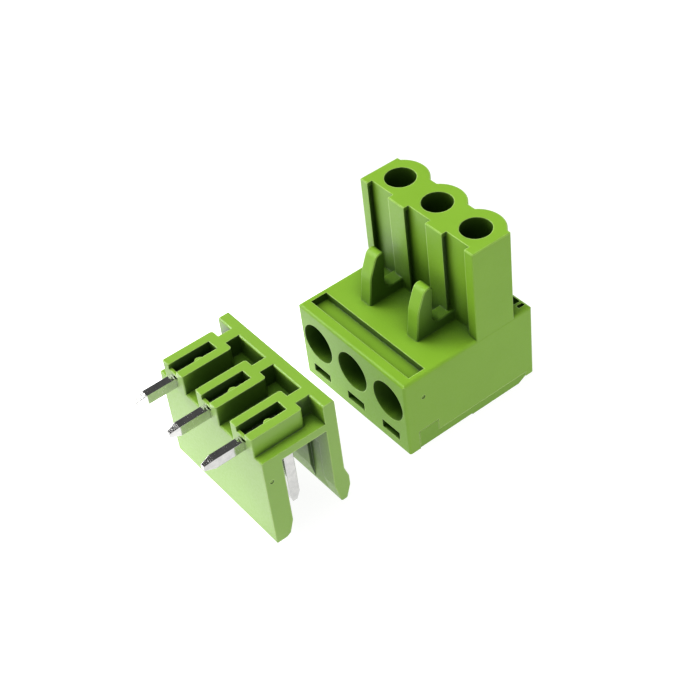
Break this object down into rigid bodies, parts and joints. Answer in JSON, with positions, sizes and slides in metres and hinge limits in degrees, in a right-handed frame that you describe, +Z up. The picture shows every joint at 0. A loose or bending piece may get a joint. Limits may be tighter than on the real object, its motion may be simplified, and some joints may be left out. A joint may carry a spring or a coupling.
{
  "type": "pluggable terminal block",
  "caption": "Pluggable terminal block for wires on a circuit board: a screw-clamp plug with its socket tower, and the right-angle pin header it plugs onto, unplugged side by side.",
  "frame": {"origin": "on the table under the middle of the pair", "axes": "+Y from the header's solder legs to the back of the plug, +X along the row of poles, +Z up"},
  "size_m": [0.0152, 0.0338, 0.0182],
  "materials": {
    "green_polyamide": "moulded, satin",
    "tinned_brass": "tin-plated, bright",
    "plated_steel": "zinc-plated"
  },
  "bodies": {
    "root": {"plug_housing": "green_polyamide", "wire_entry_frame": "green_polyamide", "contact_1": "tinned_brass", "contact_2": "tinned_brass", "contact_3": "tinned_brass", "header_housing": "green_polyamide", "header_pin_1": "tinned_brass", "header_pin_2": "tinned_brass", "header_pin_3": "tinned_brass"},
    "screw_1": {"clamp_screw_1": "plated_steel"},
    "cage_1": {"clamp_cage_1": "plated_steel"},
    "screw_2": {"clamp_screw_2": "plated_steel"},
    "cage_2": {"clamp_cage_2": "plated_steel"},
    "screw_3": {"clamp_screw_3": "plated_steel"},
    "cage_3": {"clamp_cage_3": "plated_steel"}
  },
  "joints": [
    {"name": "screw_1_turn", "type": "hinge", "parent": "root", "child": "screw_1", "pos_m": [-0.00508, 0.00639, 0.00509], "axis": [0, 1, 0], "range_deg": [0, 1693]},
    {"name": "cage_1_rise", "type": "slide", "parent": "root", "child": "cage_1", "axis": [0, -1, 0], "range_m": [0, 0.00235]},
    {"name": "screw_2_turn", "type": "hinge", "parent": "root", "child": "screw_2", "pos_m": [0, 0.00639, 0.00509], "axis": [0, 1, 0], "range_deg": [0, 1693]},
    {"name": "cage_2_rise", "type": "slide", "parent": "root", "child": "cage_2", "axis": [0, -1, 0], "range_m": [0, 0.00235]},
    {"name": "screw_3_turn", "type": "hinge", "parent": "root", "child": "screw_3", "pos_m": [0.00508, 0.00639, 0.00509], "axis": [0, 1, 0], "range_deg": [0, 1693]},
    {"name": "cage_3_rise", "type": "slide", "parent": "root", "child": "cage_3", "axis": [0, -1, 0], "range_m": [0, 0.00235]}
  ],
  "couplings": [
    {"joint": "screw_1_turn", "follows": "cage_1_rise", "rad_per_m": 12566},
    {"joint": "screw_2_turn", "follows": "cage_2_rise", "rad_per_m": 12566},
    {"joint": "screw_3_turn", "follows": "cage_3_rise", "rad_per_m": 12566}
  ]
}
